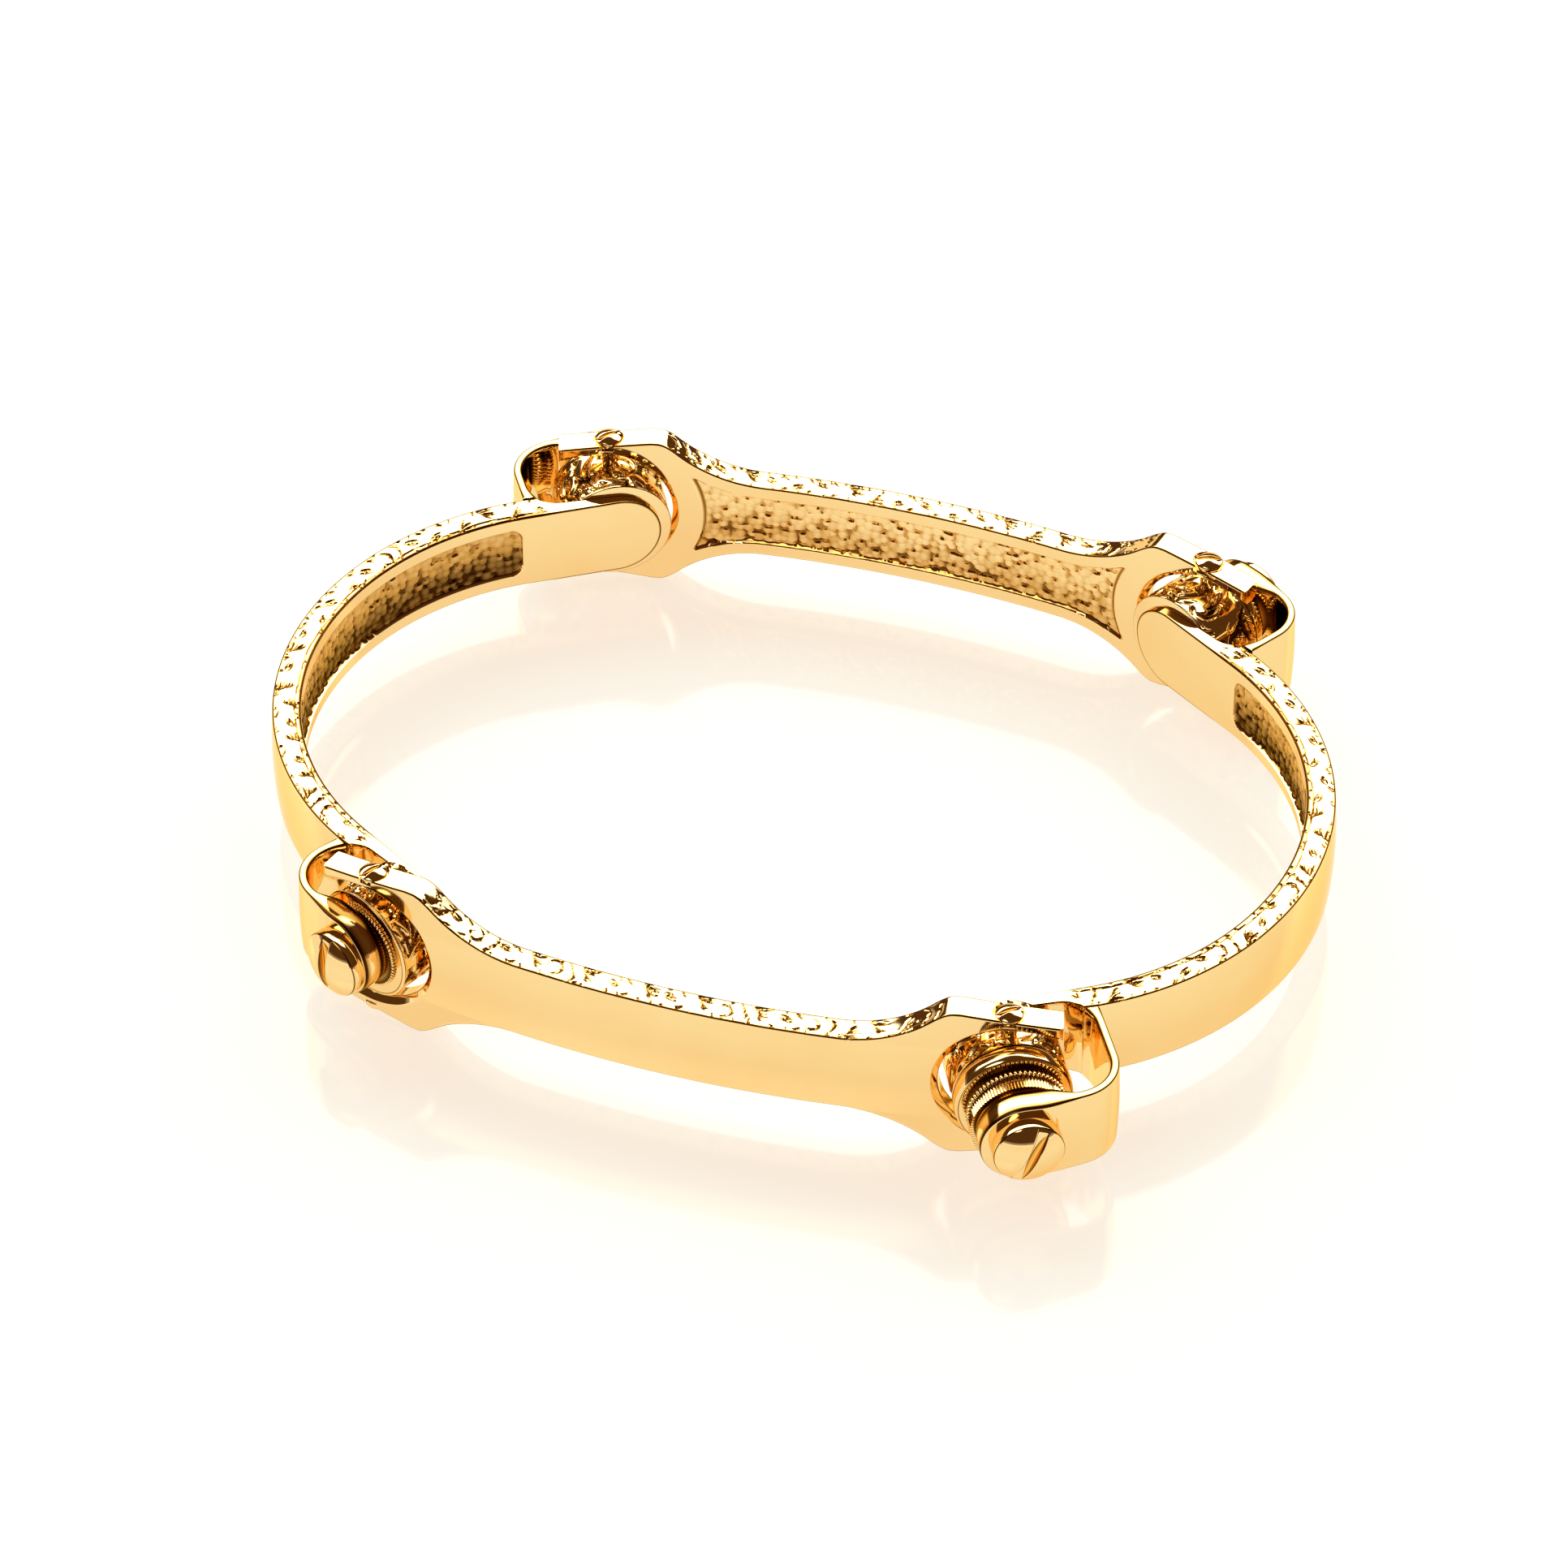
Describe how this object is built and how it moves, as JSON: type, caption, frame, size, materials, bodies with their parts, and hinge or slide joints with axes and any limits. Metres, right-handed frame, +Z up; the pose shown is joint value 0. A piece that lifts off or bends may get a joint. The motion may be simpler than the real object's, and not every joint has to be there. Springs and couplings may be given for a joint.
{
  "type": "bangle bracelet",
  "caption": "Hinged gold bangle: two forked bars and two shackle-ended bands, joined at engraved barrels by large slotted screws.",
  "frame": {"origin": "under the middle of the bangle's overall box, on the plane its fork heads rest on; the links' own centre is 0.82 mm to the rear of it, since the front right screw stands further out", "axes": "+X along the bars to the right, +Y to the rear, +Z up along the four pivot axes"},
  "size_m": [0.0672, 0.0558, 0.0112],
  "materials": {
    "polished_gold": "mirror-polished yellow gold with engraved edges and pebbled panels",
    "engraved_gold": "chased and milled yellow gold, dark in the cuts",
    "screw_gold": "mirror-polished yellow gold"
  },
  "bodies": {
    "left_link": {"left_band": "polished_gold", "front_left_loop": "polished_gold", "front_left_barrel": "engraved_gold", "front_left_milled_collar": "engraved_gold", "rear_left_loop": "polished_gold", "rear_left_barrel": "engraved_gold", "rear_left_milled_collar": "engraved_gold"},
    "front_link": {"front_bar": "polished_gold", "front_left_upper_pivot_screw": "screw_gold", "front_left_lower_pivot_screw": "screw_gold", "front_right_upper_pivot_screw": "screw_gold", "front_right_lower_pivot_screw": "screw_gold"},
    "rear_link": {"rear_bar": "polished_gold", "rear_left_upper_pivot_screw": "screw_gold", "rear_left_lower_pivot_screw": "screw_gold", "rear_right_upper_pivot_screw": "screw_gold", "rear_right_lower_pivot_screw": "screw_gold"},
    "right_link": {"right_band": "polished_gold", "front_right_loop": "polished_gold", "front_right_barrel": "engraved_gold", "front_right_milled_collar": "engraved_gold", "rear_right_loop": "polished_gold", "rear_right_barrel": "engraved_gold", "rear_right_milled_collar": "engraved_gold"},
    "front_left_screw": {"front_left_main_screw": "screw_gold"},
    "front_right_screw": {"front_right_main_screw": "screw_gold"},
    "rear_left_screw": {"rear_left_main_screw": "screw_gold"},
    "rear_right_screw": {"rear_right_main_screw": "screw_gold"}
  },
  "joints": [
    {"name": "front_left_pivot", "type": "hinge", "parent": "left_link", "child": "front_link", "pos_m": [-0.02, -0.02098, 0.0056], "axis": [0, 0, 1], "range_deg": [-10, 10]},
    {"name": "rear_left_pivot", "type": "hinge", "parent": "left_link", "child": "rear_link", "pos_m": [-0.02, 0.02262, 0.0056], "axis": [0, 0, 1], "range_deg": [-10, 10]},
    {"name": "front_right_pivot", "type": "hinge", "parent": "front_link", "child": "right_link", "pos_m": [0.02, -0.02098, 0.0056], "axis": [0, 0, 1], "range_deg": [-10, 10]},
    {"name": "front_left_screw_travel", "type": "slide", "parent": "left_link", "child": "front_left_screw", "axis": [-0.4695, -0.8829, 0], "range_m": [0, 0.00645]},
    {"name": "front_right_screw_travel", "type": "slide", "parent": "right_link", "child": "front_right_screw", "axis": [0.4695, -0.8829, 0], "range_m": [0, 0.00935]},
    {"name": "rear_left_screw_travel", "type": "slide", "parent": "left_link", "child": "rear_left_screw", "axis": [-0.4695, 0.8829, 0], "range_m": [0, 0.0075]},
    {"name": "rear_right_screw_travel", "type": "slide", "parent": "right_link", "child": "rear_right_screw", "axis": [0.4695, 0.8829, 0], "range_m": [0, 0.0075]}
  ],
  "couplings": [
    {"joint": "rear_left_pivot", "follows": "front_left_pivot", "ratio": 1},
    {"joint": "front_right_pivot", "follows": "front_left_pivot", "ratio": -1}
  ]
}
